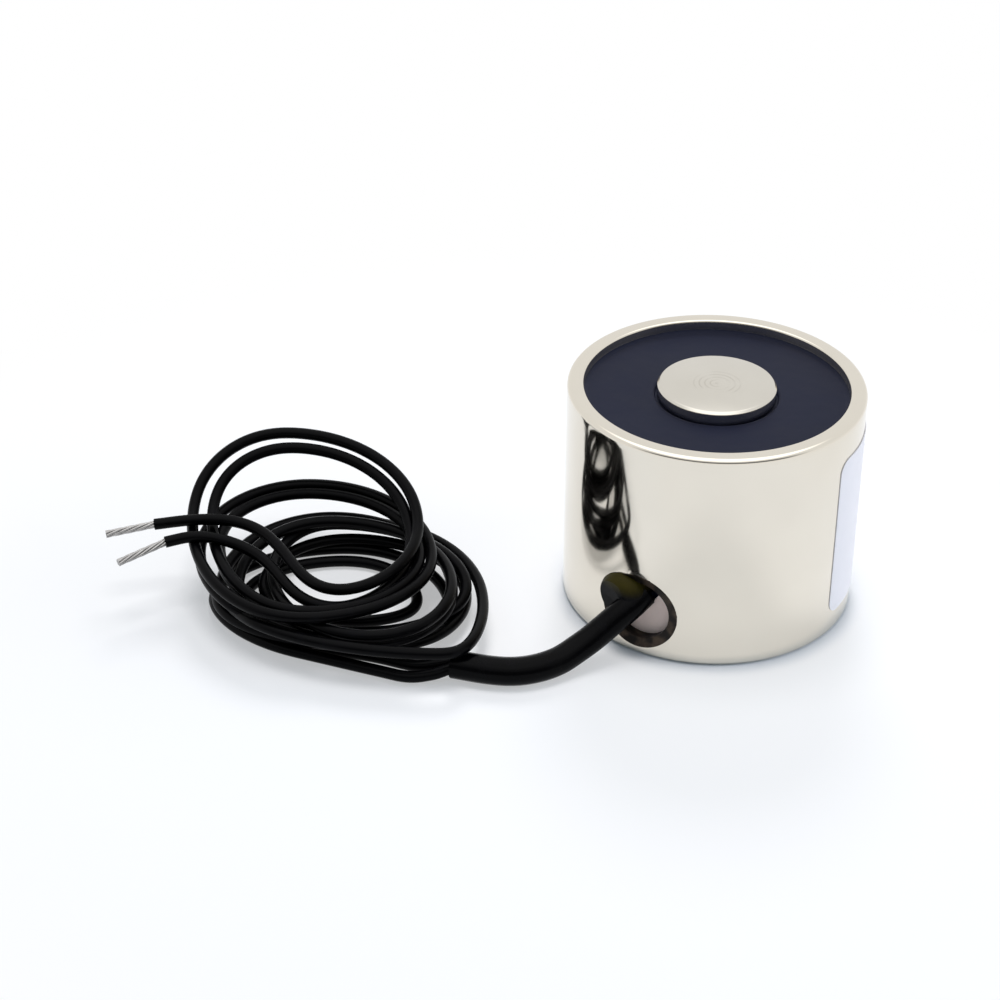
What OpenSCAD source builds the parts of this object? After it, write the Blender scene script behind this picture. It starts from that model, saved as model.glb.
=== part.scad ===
// Holding electromagnet: a nickel-plated steel pot with a wound core, cast in resin,
// standing on its base with the pole face up and its two leads coiled beside it.
// Millimetres, +Z up along the magnet's axis, origin at the centre of the base, lead hole towards -Y.

/* [Pot] */
// Outer diameter of the pot
pot_d = 25; // [22:0.5:32]
// Height of the pot, base to rim
pot_h = 20; // [17:0.5:28]
// Wall round the coil space
wall = 1.4; // [1:0.1:2]
// Thickness of the base
base_t = 5; // [4:0.1:6]
// Rounding of the rim's and the base's outer edges
edge_r = 0.4; // [0.1:0.05:0.6]
// Rounding of the rim's inner edge
mouth_r = 0.2; // [0.05:0.05:0.4]

/* [Core] */
// Diameter of the pole face
core_d = 10; // [8:0.5:11]
// Diameter of the core's foot, pressed into the base
foot_d = 8; // [6:0.5:8]
// Bevel round the pole face
core_bevel = 0.35; // [0.1:0.05:0.6]
// Tapping diameter of the mounting thread
tap_d = 3.3; // [2.5:0.1:4.2]
// Depth of the full tapping bore, from the base
tap_depth = 8; // [6:0.5:10]
// Diameter of the countersink at the thread's mouth
sink_d = 4.4; // [4.3:0.1:5.4]
// Point angle of the tapping drill
drill_angle = 118; // [90:1:140]

/* [Lead hole] */
// Diameter of the hole milled in the side
hole_d = 7; // [6.6:0.1:7.4]
// Drop of the hole's centre below the coil space's floor
hole_drop = 0.8; // [0.6:0.1:1]
// Depth of the pocket that the hole leaves in the base
pocket_depth = 1.5; // [1.5:0.05:1.6]
// Thickness of the insulating washer in the pocket
washer_t = 0.35; // [0.2:0.05:0.5]
// Diameter of the washer's own hole, round the sleeve
washer_hole_d = 3; // [2.8:0.1:3.4]

/* [Spool and winding] */
// Wall of the spool's tube
spool_wall = 0.6; // [0.4:0.1:1]
// Thickness of each spool flange
flange_t = 0.6; // [0.4:0.1:0.7]
// Gap between the flanges and the pot, where the resin runs down
resin_gap = 0.4; // [0.2:0.05:0.6]
// Film wrapped round the winding
tape_t = 0.3; // [0.1:0.05:0.5]
// Diameter of the winding's own wire
magnet_wire_d = 0.3; // [0.2:0.05:0.4]

/* [Resin] */
// Set-back of the resin's face from the rim
resin_drop = 1; // [0.5:0.1:2]
// Resin over the spool's upper flange
resin_cover = 1; // [0.5:0.1:2]
// Diameter of the resin that stands in the lead hole beside the sleeve
plug_d = 4.6; // [4:0.1:5]
// Set-back of that resin from the pot's side
plug_drop = 0.3; // [0.1:0.1:0.6]

/* [Leads] */
// Diameter of the shrink sleeve over both leads
sleeve_d = 2.4; // [2.1:0.1:2.5]
// Diameter of each lead over its insulation
lead_d = 1; // [0.8:0.05:1]
// Diameter of the bare, tinned strands
strand_d = 0.65; // [0.4:0.05:0.8]
// Diameter of the soldered joint
joint_d = 0.7; // [0.5:0.05:0.8]
// Wall of the insulating tube over each joint
joint_wall = 0.22; // [0.15:0.01:0.3]
// Length of each joint's tube, as an angle round the magnet
joint_angle = 30; // [20:1:40]
// Bend of each lead where it leaves the sleeve inside the pot
elbow_r = 0.9; // [0.8:0.05:1.2]

/* [Fits] */
// Clearance between pieces that slip together
slip = 0.05; // [0.02:0.01:0.1]
// Clearance of the pressed foot in the base
press = 0.01; // [0.005:0.005:0.02]

/* [Hidden] */
$fn = 96;

nickel = "#d8d5cc";
resin = "#14141c";
insulation = "#101014";
nylon = "#e8e4d8";
fibre = "#c4b2ae";
copper = "#b5622c";
film = "#d9b23a";
tin = "#b9b9bc";

// Overlap that lets cuts run clear of the faces they open
cut = 1;
// Straight segments in each rounded corner of a turned profile
corner_steps = 6;
// Sides of each swept lead
lead_sides = 8;
// Straight runs in each quarter turn of a lead
turn_steps = 6;

pot_r = pot_d / 2;
bore_r = pot_r - wall;
core_r = core_d / 2;
foot_r = foot_d / 2;
tap_r = tap_d / 2;
sink_depth = (sink_d - tap_d) / 2;
drill_tip = tap_r / tan(drill_angle / 2);

hole_z = base_t - hole_drop;
lead_z = base_t + sleeve_d / 2 + slip;
// Centre of the resin in the lead hole, up and to the left of the sleeve
plug_x = -1.2;
plug_z = hole_z + 1.5;
resin_top = pot_h - resin_drop;
spool_top = resin_top - resin_cover;
joint_tube_d = joint_d + 2 * joint_wall;
joint_r = bore_r - slip - joint_tube_d / 2;
tape_r = joint_r - joint_tube_d / 2 - slip;
winding_r = tape_r - tape_t;
spool_r = core_r + slip + spool_wall;
flange_r = bore_r - resin_gap;
winding_low = base_t + flange_t;
winding_high = spool_top - flange_t;

// Inside the pot each lead turns aside from the sleeve's end and runs round to its joint
lead_pitch = lead_d / 2;
sleeve_start = joint_r + elbow_r;
elbow_x = lead_pitch + elbow_r;
elbow_end = atan2(elbow_x, joint_r);
// Angles from the lead hole round to the two ends of each joint's tube
joint_start_angle = 40;
joint_end_angle = joint_start_angle + joint_angle;

// The leads outside the pot are laid out in axes of their own, turned about Z from the magnet's
lay_turn = 32;
// Where the sleeve starts to bend, out from the pot and down from its hole
sleeve_out = 1.8;
sleeve_sag = 0.4;
sleeve_points = [
    [-8.8, -13.2, 4.6], [-10.2, -13.8, 3], [-12, -14.4, 1.8], [-14.2, -15, 1.2],
    [-16.6, -15.2, 1.2], [-19, -14.8, 1.2], [-21.9, -14, 1.2]
];
// Left, back, right and front points of each lead's last turn, which stands up from the coil
last_turn_a = [[-44.9, 2.4, 5.6], [-37.2, 9.2, 9.6], [-25, 0.4, 5.4], [-32, -9, 5]];
last_turn_b = [[-43.2, 3.4, 5.2], [-36.6, 8.3, 8.6], [-25.6, -0.2, 4.2], [-32.2, -10, 3.9]];
// From there each lead crosses the coil to the end of its insulation, then to the tip of its strands
tail_a = [
    [-34, -8, 5.2], [-35.4, -6, 5.5], [-36.8, -3.6, 5.8], [-38.6, -1.4, 6.1], [-41, -0.2, 6.3],
    [-44.2, 0.1, 6.2], [-47.9, -0.1, 5.8], [-52, -1.1, 5.4]
];
tail_b = [
    [-34.3, -9.2, 4.1], [-35.9, -7.7, 4.5], [-37.2, -5.6, 5], [-39, -3.6, 5.3], [-41.4, -2.3, 5.6],
    [-44.1, -1.9, 5.8], [-46.7, -2.6, 5.6], [-50.4, -5.2, 5.2]
];
coil_centre = [-31, -4.6, 0];
coil_outer = 12.2;
coil_inner = 8;
coil_height = 4.3;
coil_round = 1.6;

function arc(x, y, r, from, to, steps = corner_steps) =
    [for (i = [0:steps]) let (a = from + (to - from) * i / steps) [x + r * cos(a), y + r * sin(a)]];

function laid(p) =
    [p.x * cos(lay_turn) - p.y * sin(lay_turn), p.x * sin(lay_turn) + p.y * cos(lay_turn), p.z];

// Quarter of an ellipse from p to q, leaving p along X or along Y
function quarter(p, q, along_x, steps) =
    [for (i = [0:steps - 1]) let (a = 90 * i / steps, far = 1 - cos(a), near = sin(a))
        along_x
            ? [p.x + (q.x - p.x) * near, p.y + (q.y - p.y) * far, p.z + (q.z - p.z) * far]
            : [p.x + (q.x - p.x) * far, p.y + (q.y - p.y) * near, p.z + (q.z - p.z) * near]];

function tail_path(turn, tail) =
    let (
        rise = quarter(turn[0], turn[1], false, turn_steps),
        fall = quarter(turn[1], turn[2], true, turn_steps),
        front = quarter(turn[2], turn[3], false, turn_steps))
    [for (p = concat(rise, fall, front, [turn[3]], tail)) laid(p)];

function sleeve_path() = concat(
    [[0, -sleeve_start, lead_z], [0, -pot_r - slip, lead_z], [0, -pot_r - sleeve_out, lead_z - sleeve_sag]],
    [for (p = sleeve_points) laid(p)]);

function unit(v) = v / norm(v);

function heading(path, i) = unit(path[min(i + 1, len(path) - 1)] - path[max(i - 1, 0)]);

// Ring of points square to the path; the ring's own axes are level and upward ones
function ring(path, i, r) =
    let (ahead = heading(path, i), side = unit(cross(ahead, [0, 0, 1])), over = cross(side, ahead))
    [for (k = [0:lead_sides - 1]) let (a = 360 * k / lead_sides) path[i] + r * (cos(a) * side + sin(a) * over)];

module swept(path, r, first, last) {
    n = lead_sides;
    rings = last - first;
    points = [for (i = [first:last]) each ring(path, i, r)];
    sides = [for (j = [0:rings - 1], k = [0:n - 1])
        [j * n + k, j * n + (k + 1) % n, (j + 1) * n + (k + 1) % n, (j + 1) * n + k]];
    start = [for (k = [n - 1:-1:0]) k];
    end = [for (k = [0:n - 1]) rings * n + k];
    polyhedron(points, concat(sides, [start, end]));
}

module pipe_ring(r_in, r_out, low, high) {
    rotate_extrude()
        translate([r_in, low])
            square([r_out - r_in, high - low]);
}

// Round bar bent round the magnet's axis at the joints' radius, from one angle off -Y to another
module bent_bar(d, from, to, side) {
    mirror([side < 0 ? 1 : 0, 0, 0])
        translate([0, 0, lead_z])
            rotate_extrude(angle = to - from, start = from - 90)
                translate([joint_r, 0])
                    circle(d = d);
}

module lead_hole(depth) {
    translate([0, -pot_r - cut, hole_z])
        rotate([-90, 0, 0])
            cylinder(d = hole_d, h = depth + cut);
}

module resin_plug() {
    intersection() {
        pipe_ring(bore_r - cut, pot_r - plug_drop, 0, pot_h);
        lead_hole(pocket_depth);
        translate([plug_x, -pot_r - cut, plug_z])
            rotate([-90, 0, 0])
                cylinder(d = plug_d, h = pocket_depth + cut);
    }
}

module sleeve_bore() {
    translate([0, -pot_r - cut, lead_z])
        rotate([-90, 0, 0])
            cylinder(d = sleeve_d + 2 * slip, h = pot_r + cut - sleeve_start);
}

module pot_shell() {
    profile = concat(
        [[foot_r + press, 0]],
        arc(pot_r - edge_r, edge_r, edge_r, -90, 0),
        arc(pot_r - edge_r, pot_h - edge_r, edge_r, 0, 90),
        arc(bore_r + mouth_r, pot_h - mouth_r, mouth_r, 90, 180),
        [[bore_r, base_t], [foot_r + press, base_t]]);
    color(nickel)
        difference() {
            rotate_extrude()
                polygon(profile);
            lead_hole(pocket_depth);
        }
}

module pole_core() {
    profile = [
        [0, tap_depth + drill_tip], [tap_r, tap_depth], [tap_r, sink_depth], [tap_r + sink_depth, 0],
        [foot_r, 0], [foot_r, base_t], [core_r, base_t],
        [core_r, pot_h - core_bevel], [core_r - core_bevel, pot_h], [0, pot_h]
    ];
    color(nickel)
        rotate_extrude()
            polygon(profile);
}

module bobbin() {
    color(nylon) {
        pipe_ring(core_r + slip, spool_r, base_t, spool_top);
        pipe_ring(core_r + slip, flange_r, base_t, winding_low);
        pipe_ring(core_r + slip, flange_r, winding_high, spool_top);
    }
}

// The winding's own wire leaves it through the film and lies against the joint's end face
module winding_ends() {
    for (side = [-1, 1])
        rotate(side * joint_end_angle)
            translate([0, -joint_r, lead_z])
                rotate([-90, 0, 0])
                    cylinder(d = magnet_wire_d, h = joint_r - winding_r + tape_t);
}

module coil_winding() {
    color(copper)
        difference() {
            union() {
                pipe_ring(spool_r, winding_r, winding_low, winding_high);
                winding_ends();
            }
            joint_pieces();
        }
}

module winding_tape() {
    color(film)
        difference() {
            pipe_ring(winding_r, tape_r, winding_low, winding_high);
            winding_ends();
        }
}

module joint_pieces() {
    for (side = [-1, 1])
        bent_bar(joint_tube_d, joint_start_angle, joint_end_angle, side);
}

module inner_lead(side) {
    color(insulation) {
        mirror([side < 0 ? 1 : 0, 0, 0])
            translate([elbow_x, -sleeve_start, lead_z])
                rotate_extrude(angle = 90, start = 90)
                    translate([elbow_r, 0])
                        circle(d = lead_d);
        bent_bar(lead_d, elbow_end, joint_start_angle, side);
    }
}

module inner_lead_a() { inner_lead(-1); }
module inner_lead_b() { inner_lead(1); }

module splice(side) {
    color(tin)
        bent_bar(joint_d, joint_start_angle, joint_end_angle, side);
}

module splice_a() { splice(-1); }
module splice_b() { splice(1); }

module splice_sleeve(side) {
    color(resin)
        difference() {
            bent_bar(joint_tube_d, joint_start_angle, joint_end_angle, side);
            bent_bar(joint_d, joint_start_angle - cut, joint_end_angle + cut, side);
        }
}

module splice_sleeve_a() { splice_sleeve(-1); }
module splice_sleeve_b() { splice_sleeve(1); }

module potting() {
    color(resin)
        difference() {
            union() {
                difference() {
                    pipe_ring(core_r, bore_r, base_t, resin_top);
                    lead_hole(pocket_depth);
                }
                resin_plug();
            }
            pipe_ring(0, spool_r, 0, spool_top);
            pipe_ring(0, flange_r, 0, winding_low);
            pipe_ring(0, flange_r, winding_high, spool_top);
            pipe_ring(0, tape_r, winding_low, winding_high);
            joint_pieces();
            winding_ends();
            inner_lead_a();
            inner_lead_b();
            sleeve_bore();
        }
}

// Pale washer at the back of the pocket, cut away where the resin comes through
module lead_washer() {
    color(fibre)
        difference() {
            translate([0, pocket_depth - washer_t - pot_r, hole_z])
                rotate([-90, 0, 0])
                    cylinder(d = hole_d - 2 * slip, h = washer_t);
            resin_plug();
            translate([0, -pot_r, lead_z])
                rotate([-90, 0, 0])
                    cylinder(d = washer_hole_d, h = pocket_depth + cut);
        }
}

module lead_sleeve() {
    path = sleeve_path();
    color(insulation)
        swept(path, sleeve_d / 2, 0, len(path) - 1);
}

module lead_coil() {
    profile = concat(
        arc(coil_outer - coil_round, coil_round, coil_round, -90, 0),
        arc(coil_outer - coil_round, coil_height - coil_round, coil_round, 0, 90),
        arc(coil_inner + coil_round, coil_height - coil_round, coil_round, 90, 180),
        arc(coil_inner + coil_round, coil_round, coil_round, 180, 270));
    color(insulation)
        translate(laid(coil_centre))
            rotate_extrude()
                polygon(profile);
}

module lead_tail(turn, tail) {
    path = tail_path(turn, tail);
    color(insulation)
        swept(path, lead_d / 2, 0, len(path) - 2);
}

module lead_tail_a() { lead_tail(last_turn_a, tail_a); }
module lead_tail_b() { lead_tail(last_turn_b, tail_b); }

module bare_end(turn, tail) {
    path = tail_path(turn, tail);
    color(tin)
        swept(path, strand_d / 2, len(path) - 2, len(path) - 1);
}

module bare_end_a() { bare_end(last_turn_a, tail_a); }
module bare_end_b() { bare_end(last_turn_b, tail_b); }

pot_shell();
pole_core();
bobbin();
coil_winding();
winding_tape();
potting();
lead_washer();
inner_lead_a();
inner_lead_b();
splice_a();
splice_b();
splice_sleeve_a();
splice_sleeve_b();
lead_sleeve();
lead_coil();
lead_tail_a();
lead_tail_b();
bare_end_a();
bare_end_b();
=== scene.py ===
"""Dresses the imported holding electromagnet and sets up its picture.

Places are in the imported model's own frame: +Z up the magnet's axis, the lead hole towards -Y, the origin
at the centre of the base. Chosen sizes and route points are in millimetres; Blender's own are in metres.
"""

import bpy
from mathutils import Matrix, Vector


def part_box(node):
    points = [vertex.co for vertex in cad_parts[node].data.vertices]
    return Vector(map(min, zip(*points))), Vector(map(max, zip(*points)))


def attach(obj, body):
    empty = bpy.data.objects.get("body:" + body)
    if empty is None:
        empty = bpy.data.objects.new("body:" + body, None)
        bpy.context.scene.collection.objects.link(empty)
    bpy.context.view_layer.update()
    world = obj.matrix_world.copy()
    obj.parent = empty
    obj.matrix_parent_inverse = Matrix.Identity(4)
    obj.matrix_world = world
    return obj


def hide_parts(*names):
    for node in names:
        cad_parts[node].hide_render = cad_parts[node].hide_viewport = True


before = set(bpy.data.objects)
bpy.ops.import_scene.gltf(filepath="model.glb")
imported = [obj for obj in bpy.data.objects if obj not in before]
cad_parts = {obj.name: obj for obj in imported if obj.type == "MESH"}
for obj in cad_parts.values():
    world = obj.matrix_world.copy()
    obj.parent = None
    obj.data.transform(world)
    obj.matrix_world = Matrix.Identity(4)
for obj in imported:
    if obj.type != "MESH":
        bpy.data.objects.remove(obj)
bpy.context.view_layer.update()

import logging
import math
from dataclasses import dataclass
from enum import Enum
from typing import Callable, ClassVar, Optional, Sequence, Union

import bpy
import numpy as np
from mathutils import Matrix, Vector

Flat = tuple[float, float]
Point = tuple[float, float, float]
Colour = tuple[float, float, float, float]
Piece = bpy.types.Object

MM = 0.001
# A length too small to see, in millimetres
HAIR = 0.01
WHITE: Colour = (1.0, 1.0, 1.0, 1.0)
# The leads and the picture share axes that are turned from the magnet's about Z
LAY_TURN = math.radians(32)
log = logging.getLogger("electromagnet")


def laid(point: Sequence[float]) -> Point:
    """Turn a point from the picture's axes into the magnet's.

    Args:
        point: The place in the picture's axes, x right, y away and z up.

    Returns:
        The same place in the magnet's axes, in the same unit.
    """
    x, y, z = point
    across = x * math.cos(LAY_TURN) - y * math.sin(LAY_TURN)
    along = x * math.sin(LAY_TURN) + y * math.cos(LAY_TURN)
    return across, along, z


def arc(centre: Flat, radius: float, start: float, end: float, steps: int = 8) -> list[Flat]:
    """Points of a rounded corner in a turned profile.

    Args:
        centre: Radius and height of the corner's centre, in millimetres.
        radius: Radius of the corner, in millimetres.
        start: Angle of the first point, in degrees.
        end: Angle of the last point, in degrees.
        steps: Straight runs in the corner.

    Returns:
        The points, as radius and height.
    """
    angles = [math.radians(start + (end - start) * i / steps) for i in range(steps + 1)]
    return [(centre[0] + radius * math.cos(a), centre[1] + radius * math.sin(a)) for a in angles]


class Slot(Enum):
    """The record's material slots, by name."""

    PLATED_STEEL = "plated_steel"
    POLE_STEEL = "pole_steel"
    RESIN = "casting_resin"
    INSULATION = "lead_insulation"
    SLEEVE = "shrink_sleeve"
    TINNED = "tinned_copper"


class Tap:
    """One output of a node; arithmetic on it adds Math nodes."""

    def __init__(self, kit: "NodeKit", socket: bpy.types.NodeSocket) -> None:
        self.kit = kit
        self.socket = socket

    def _math(self, operation: str, first: "Input", second: "Input") -> "Tap":
        """Add one Math node and return its result."""
        return self.kit.node("ShaderNodeMath", {"operation": operation}, {0: first, 1: second})

    def __add__(self, other: "Input") -> "Tap":
        """Sum of two values."""
        return self._math("ADD", self, other)

    def __mul__(self, other: "Input") -> "Tap":
        """Product of two values."""
        return self._math("MULTIPLY", self, other)

    def __sub__(self, other: "Input") -> "Tap":
        """Difference of two values."""
        return self._math("SUBTRACT", self, other)

    def __rsub__(self, other: "Input") -> "Tap":
        """Difference with this value taken away."""
        return self._math("SUBTRACT", other, self)

    def sine(self) -> "Tap":
        """Sine of this value, in radians."""
        return self._math("SINE", self, 0.0)

    def part(self, output: str) -> "Tap":
        """Another output of the same node."""
        return Tap(self.kit, self.socket.node.outputs[output])


Input = Union[Tap, float, tuple]


class NodeKit:
    """Builds one shader tree, of a material or of the world."""

    def __init__(self, tree: bpy.types.NodeTree) -> None:
        self.tree = tree
        tree.nodes.clear()

    def node(
        self,
        kind: str,
        settings: Optional[dict] = None,
        inputs: Optional[dict] = None,
        output: Union[int, str] = 0,
    ) -> Tap:
        """Add a node.

        Args:
            kind: The node's type.
            settings: Properties of the node, set before its sockets.
            inputs: Values or taps by socket name or number.
            output: Name or number of the output to return.

        Returns:
            The chosen output.
        """
        made = self.tree.nodes.new(kind)
        for key, value in (settings or {}).items():
            setattr(made, key, value)
        for key, value in (inputs or {}).items():
            if isinstance(value, Tap):
                self.tree.links.new(value.socket, made.inputs[key])
            else:
                made.inputs[key].default_value = value
        return Tap(self, made.outputs[output])

    def place(self) -> Tap:
        """Coordinates of the piece's own space, in metres."""
        return self.node("ShaderNodeTexCoord", output="Object")

    def noise(self, vector: Tap, size: float, detail: float = 2.0) -> Tap:
        """Noise from 0 to 1 whose features are about so many millimetres wide."""
        inputs = {"Vector": vector, "Scale": 1 / (size * MM), "Detail": detail}
        return self.node("ShaderNodeTexNoise", None, inputs)

    def length(self, vector: Tap) -> Tap:
        """Length of a vector."""
        return self.node("ShaderNodeVectorMath", {"operation": "LENGTH"}, {0: vector}, "Value")

    def stretched(self, vector: Tap, scale: Point) -> Tap:
        """Coordinates scaled apart along the three axes."""
        return self.node("ShaderNodeMapping", None, {"Vector": vector, "Scale": scale})

    def span(self, value: Tap, start: float, end: float) -> Tap:
        """Smooth step of a value, from 0 at the start to 1 at the end."""
        inputs = {"Value": value, "From Min": start, "From Max": end}
        return self.node("ShaderNodeMapRange", {"interpolation_type": "SMOOTHSTEP"}, inputs)

    def fade(self, distance: Tap, edge: Flat) -> Tap:
        """Smooth step of a distance between two lengths in millimetres."""
        return self.span(distance, edge[0] * MM, edge[1] * MM)

    def blend(self, factor: Input, first: Input, second: Input) -> Tap:
        """Mix of two colours."""
        return self.node("ShaderNodeMix", {"data_type": "RGBA"}, {0: factor, 6: first, 7: second}, 2)

    def mixed(self, factor: Input, first: Tap, second: Tap) -> Tap:
        """Mix of two shaders."""
        return self.node("ShaderNodeMixShader", None, {0: factor, 1: first, 2: second})

    def bump(self, height: Tap, depth: float) -> Tap:
        """Normal of a surface raised by so many millimetres where the height is 1."""
        inputs = {"Height": height, "Distance": depth * MM, "Strength": 1.0}
        return self.node("ShaderNodeBump", None, inputs)

    def close(self, kind: str, shader: Tap) -> None:
        """Lead the finished shader to the tree's output node."""
        self.tree.links.new(shader.socket, self.tree.nodes.new(kind).inputs["Surface"])


@dataclass(frozen=True)
class Finish:
    """A procedural material, made once and shared by the pieces that wear it."""

    label: str
    made: ClassVar[dict[str, bpy.types.Material]] = {}

    def material(self) -> bpy.types.Material:
        """The Blender material of this finish."""
        if self.label not in Finish.made:
            material = bpy.data.materials.new(self.label)
            material.use_nodes = True
            kit = NodeKit(material.node_tree)
            shader = kit.node("ShaderNodeBsdfPrincipled", None, self.sockets(kit))
            kit.close("ShaderNodeOutputMaterial", shader)
            Finish.made[self.label] = material
        return Finish.made[self.label]

    def sockets(self, kit: NodeKit) -> dict[str, Input]:
        """Values and taps of the shader's sockets.

        Args:
            kit: The material's tree.

        Returns:
            The sockets' values by name.
        """
        raise NotImplementedError

    def dress(self, *pieces: Piece) -> None:
        """Put this finish on whole pieces in place of what they wear."""
        for piece in pieces:
            piece.data.materials.clear()
            piece.data.materials.append(self.material())


@dataclass(frozen=True)
class Plating(Finish):
    """Bright nickel over turned steel."""

    tint: Colour = (0.79, 0.745, 0.655, 1.0)
    worn: Colour = (0.74, 0.695, 0.61, 1.0)
    roughness: float = 0.07
    haze: float = 0.06

    def grain(self, kit: NodeKit, place: Tap) -> Tap:
        """Height of the finest marks left under the plating."""
        level = kit.stretched(place, (1.0, 1.0, 9.0))
        return kit.noise(level, 0.8, 4.0)

    def wear(self, kit: NodeKit, place: Tap) -> Tap:
        """How far the tint turns to the worn one, in clouds."""
        return kit.noise(place, 5.0)

    def sockets(self, kit: NodeKit) -> dict[str, Input]:
        """Cloudy tint, slightly hazy gloss and level polishing marks."""
        place = kit.place()
        smear = kit.span(kit.noise(place, 2.2, 5.0), 0.45, 0.8)
        return {
            "Base Color": kit.blend(self.wear(kit, place), self.tint, self.worn),
            "Metallic": 1.0,
            "Roughness": smear * self.haze + self.roughness,
            "Normal": kit.bump(self.grain(kit, place), 0.0006),
        }


@dataclass(frozen=True)
class FacedPlating(Plating):
    """Plating over a faced end, which keeps faint rings from the lathe."""

    ring_pitch: float = 0.22
    mark_pitch: float = 0.46
    mark_edge: Flat = (2.6, 1.5)

    def rings(self, kit: NodeKit, place: Tap, pitch: float) -> tuple[Tap, Tap]:
        """Rings round the axis and how strongly they show in the middle of the face."""
        distance = kit.length(kit.stretched(place, (1, 1, 0)))
        return (distance * (math.tau / (pitch * MM))).sine(), kit.fade(distance, self.mark_edge)

    def grain(self, kit: NodeKit, place: Tap) -> Tap:
        """Height of the facing tool's rings, fading in and out over the face."""
        rings, middle = self.rings(kit, place, self.ring_pitch)
        patches = kit.span(kit.noise(place, 3.0), 0.42, 0.62)
        return rings * (patches * 0.5 + middle * 0.3) + kit.noise(place, 0.12)

    def wear(self, kit: NodeKit, place: Tap) -> Tap:
        """Clouds, with wider rings in the middle that come and go."""
        rings, middle = self.rings(kit, place, self.mark_pitch)
        patches = kit.span(kit.noise(place, 2.5), 0.4, 0.6)
        return kit.noise(place, 5.0) * 0.6 + kit.span(rings, 0.3, 1.0) * middle * patches * 0.45


@dataclass(frozen=True)
class Resin(Finish):
    """Blue-black casting resin; where it stands in the lead hole it is black, with a painted olive
    reflection along its top.
    """

    deep: Colour = (0.007, 0.009, 0.022, 1.0)
    pale: Colour = (0.014, 0.017, 0.038, 1.0)
    black: Colour = (0.002, 0.002, 0.003, 1.0)
    # Painted reflection: the olive that the lump's top takes above the crown's heights
    olive_reflection: Colour = (0.045, 0.036, 0.006, 1.0)
    crown: Flat = (5.6, 6.8)
    outside: Flat = (-11.1, -11.3)

    def sockets(self, kit: NodeKit) -> dict[str, Input]:
        """Slow colour drift, dull and glossy patches, small waves and dust; in the lead hole black, with a
        painted olive reflection along the lump's top.
        """
        place = kit.place()
        out = kit.node("ShaderNodeSeparateXYZ", None, {0: place}, "Y")
        crown = kit.fade(out.part("Z"), self.crown)
        outside = kit.fade(out, self.outside)
        dull = kit.noise(place, 3.5, 3.0)
        waves = kit.noise(place, 1.6, 1.0)
        specks = kit.span(kit.noise(place, 0.16), 0.7, 0.78)
        return {
            "Base Color": kit.blend(
                outside,
                kit.blend(specks * 0.5 + dull * 0.4, self.deep, self.pale),
                # Painted reflection: olive along the top of the lump in the hole, black below it
                kit.blend(crown, self.black, self.olive_reflection),
            ),
            "Roughness": dull * 0.22 + 0.3,
            "Specular IOR Level": 0.08,
            "Normal": kit.bump(waves + specks * 0.2, 0.02),
        }


@dataclass(frozen=True)
class Rubbery(Finish):
    """Black extruded plastic of the leads and of the sleeve."""

    deep: Colour = (0.0008, 0.0008, 0.0012, 1.0)
    pale: Colour = (0.002, 0.002, 0.0028, 1.0)
    gloss: float = 0.3
    relief: float = 0.004

    def sockets(self, kit: NodeKit) -> dict[str, Input]:
        """Nearly even black with handling marks and a fine uneven skin."""
        place = kit.place()
        handled = kit.span(kit.noise(place, 1.8, 4.0), 0.5, 0.75)
        skin = kit.noise(place, 0.35, 3.0)
        return {
            "Base Color": kit.blend(handled, self.deep, self.pale),
            "Roughness": handled * 0.18 + self.gloss,
            "Specular IOR Level": 0.06,
            "Normal": kit.bump(skin, self.relief),
        }


@dataclass(frozen=True)
class Tinned(Finish):
    """Tinned copper: grey, half dull, with bright and dark patches."""

    bright: Colour = (0.6, 0.59, 0.58, 1.0)
    dull: Colour = (0.3, 0.29, 0.285, 1.0)

    def sockets(self, kit: NodeKit) -> dict[str, Input]:
        """Patchy tin with small solder ripples."""
        place = kit.place()
        patch = kit.noise(place, 0.7, 3.0)
        return {
            "Base Color": kit.blend(patch, self.bright, self.dull),
            "Metallic": 0.9,
            "Roughness": patch * 0.2 + 0.28,
            "Normal": kit.bump(kit.noise(place, 0.15), 0.006),
        }


@dataclass(frozen=True)
class HoleShade(Finish):
    """Milled steel of the lead hole, painted brown-black: painted shade and dark reflection on its wall
    and sunk edge.
    """

    dark: Colour = (0.008, 0.006, 0.005, 1.0)
    brown: Colour = (0.07, 0.05, 0.035, 1.0)

    def sockets(self, kit: NodeKit) -> dict[str, Input]:
        """Brown-black patches of painted shade over dull steel."""
        place = kit.place()
        shade_patch = kit.noise(place, 1.1, 3.0)
        return {
            "Base Color": kit.blend(kit.span(shade_patch, 0.4, 0.7), self.dark, self.brown),
            "Metallic": 0.7,
            "Roughness": shade_patch * 0.2 + 0.3,
            "Normal": kit.bump(kit.noise(place, 0.1), 0.004),
        }


@dataclass(frozen=True)
class Matt(Finish):
    """Plain matt stuff: paper, fibre, nylon."""

    tint: Colour
    shade: Colour
    patch: float
    grain: float
    relief: float
    roughness: float

    def sockets(self, kit: NodeKit) -> dict[str, Input]:
        """Faint mottling with a fine grain."""
        place = kit.place()
        mottle = kit.noise(place, self.patch, 3.0)
        fine = kit.noise(place, self.grain)
        return {
            "Base Color": kit.blend(mottle, self.tint, self.shade),
            "Roughness": fine * 0.12 + self.roughness,
            "Normal": kit.bump(fine, self.relief),
        }


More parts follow.
